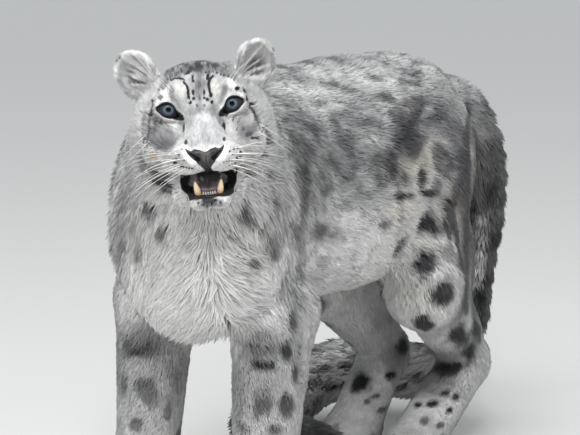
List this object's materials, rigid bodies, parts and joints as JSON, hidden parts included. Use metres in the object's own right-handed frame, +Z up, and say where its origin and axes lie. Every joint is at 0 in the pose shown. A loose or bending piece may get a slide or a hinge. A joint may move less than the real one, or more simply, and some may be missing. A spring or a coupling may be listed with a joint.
{
  "type": "snow leopard",
  "caption": "Life-size snow leopard standing with its head turned to its left and its mouth open, the thick tail curled round one hind foot; a still animal with no joints.",
  "frame": {"origin": "on the floor, under the centre of the whole animal's bounding box", "axes": "-Y towards the head, +Z up, +X the animal's left; the length from nose to the bend of the tail runs along Y"},
  "size_m": [0.4112, 1.0648, 0.6388],
  "materials": {
    "coat": "grey spotted fur",
    "pale_coat": "white and pale grey fur",
    "nose_leather": "bare dark skin, slightly wet",
    "eye": "wet pale blue-grey eye",
    "tongue": "wet flesh"
  },
  "bodies": {
    "root": {"head": "coat", "neck": "coat", "trunk": "coat", "tail_1": "coat", "tail_2": "coat", "tail_3": "coat", "tail_4": "coat", "tail_5": "coat", "foreleg_left": "coat", "foreleg_right": "coat", "forepaw_left": "coat", "forepaw_right": "coat", "hindleg_left": "coat", "hindleg_right": "coat", "hindfoot_left": "coat", "hindfoot_right": "coat", "lower_jaw": "pale_coat", "ear_left": "pale_coat", "ear_right": "pale_coat", "nose": "nose_leather", "eye_left": "eye", "eye_right": "eye", "tongue": "tongue"}
  },
  "joints": []
}
